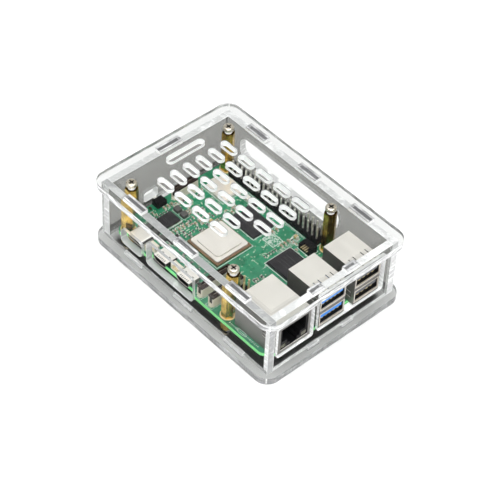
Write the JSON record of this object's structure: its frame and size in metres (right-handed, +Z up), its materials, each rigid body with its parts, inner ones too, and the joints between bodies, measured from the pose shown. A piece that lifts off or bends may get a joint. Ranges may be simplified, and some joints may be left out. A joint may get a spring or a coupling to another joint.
{
  "type": "cased single board computer",
  "caption": "Green single board computer with stacked sockets and a pin header, held on brass spacers inside a clear flat-panel box with a vented lid.",
  "frame": {"origin": "middle of the case's length and width, on the plane that the lower screw heads rest on", "axes": "+X to the network and USB sockets, +Y to the 40-pin header, +Z up through the vented lid"},
  "size_m": [0.101, 0.0708, 0.0351],
  "materials": {
    "clear_acrylic": "polished clear cast sheet, laser-cut edges bright",
    "screw_steel": "bright nickel plated, pressed cross recess",
    "spacer_brass": "bright machined hexagon brass",
    "board_green": "semi-gloss green solder mask over glass fibre",
    "substrate_brown": "matte laminate package edge",
    "lid_steel": "satin nickel plated pressing",
    "chip_black": "matte moulded package",
    "black_plastic": "fine matte moulding",
    "header_pins": "bright plated square pins",
    "gold_contacts": "bright gold plated",
    "socket_steel": "satin tin plated sheet",
    "blue_plastic": "satin moulding",
    "cream_plastic": "fine matte moulding",
    "latch_brown": "fine matte moulding",
    "light_pipe": "translucent polished moulding",
    "inductor_grey": "pressed powder block",
    "capacitor_tan": "fired ceramic",
    "tantalum_yellow": "moulded block",
    "resistor_black": "glazed top"
  },
  "bodies": {
    "computer": {"top_plate": "clear_acrylic", "bottom_plate": "clear_acrylic", "port_side_panel": "clear_acrylic", "header_side_panel": "clear_acrylic", "card_side_panel": "clear_acrylic", "socket_side_panel": "clear_acrylic", "top_screws": "screw_steel", "bottom_screws": "screw_steel", "upper_spacers": "spacer_brass", "lower_spacers": "spacer_brass", "circuit_board": "board_green", "processor_substrate": "substrate_brown", "processor_lid": "lid_steel", "wireless_shield": "lid_steel", "memory_chip": "chip_black", "io_chip": "chip_black", "power_chip": "chip_black", "small_chips": "chip_black", "fan_socket": "black_plastic", "pin_header_base": "black_plastic", "poe_header_base": "black_plastic", "ethernet_housing": "black_plastic", "usb2_tongues": "black_plastic", "usb_c_tongue": "black_plastic", "micro_hdmi_tongues": "black_plastic", "power_button_body": "black_plastic", "card_slot_base": "black_plastic", "pin_header_pins": "header_pins", "poe_header_pins": "gold_contacts", "ethernet_contacts": "gold_contacts", "usb3_contacts": "gold_contacts", "usb2_contacts": "gold_contacts", "socket_pins": "gold_contacts", "ethernet_shell": "socket_steel", "usb3_shell": "socket_steel", "usb2_shell": "socket_steel", "usb_c_shell": "socket_steel", "micro_hdmi_shells": "socket_steel", "card_slot_shell": "socket_steel", "crystals": "socket_steel", "usb3_tongues": "blue_plastic", "serial_socket": "cream_plastic", "battery_socket": "cream_plastic", "camera_sockets": "cream_plastic", "expansion_socket": "cream_plastic", "ethernet_lights": "light_pipe", "status_light": "light_pipe", "inductors": "inductor_grey", "ceramic_capacitors": "capacitor_tan", "bulk_capacitors": "tantalum_yellow", "chip_resistors": "resistor_black"},
    "power_button": {"power_button_plunger": "socket_steel"},
    "camera_latch_1": {"camera_latch_1": "latch_brown"},
    "camera_latch_2": {"camera_latch_2": "latch_brown"},
    "expansion_latch": {"expansion_latch": "latch_brown"}
  },
  "joints": [
    {"name": "power_button_press", "type": "slide", "parent": "computer", "child": "power_button", "axis": [1, 0, 0], "range_m": [0, 0.0003], "stiffness_N_per_m": 1500},
    {"name": "camera_latch_1_lift", "type": "slide", "parent": "computer", "child": "camera_latch_1", "axis": [0, 0, 1], "range_m": [0, 0.0012]},
    {"name": "camera_latch_2_lift", "type": "slide", "parent": "computer", "child": "camera_latch_2", "axis": [0, 0, 1], "range_m": [0, 0.0012]},
    {"name": "expansion_latch_lift", "type": "slide", "parent": "computer", "child": "expansion_latch", "axis": [0, 0, 1], "range_m": [0, 0.0012]}
  ]
}
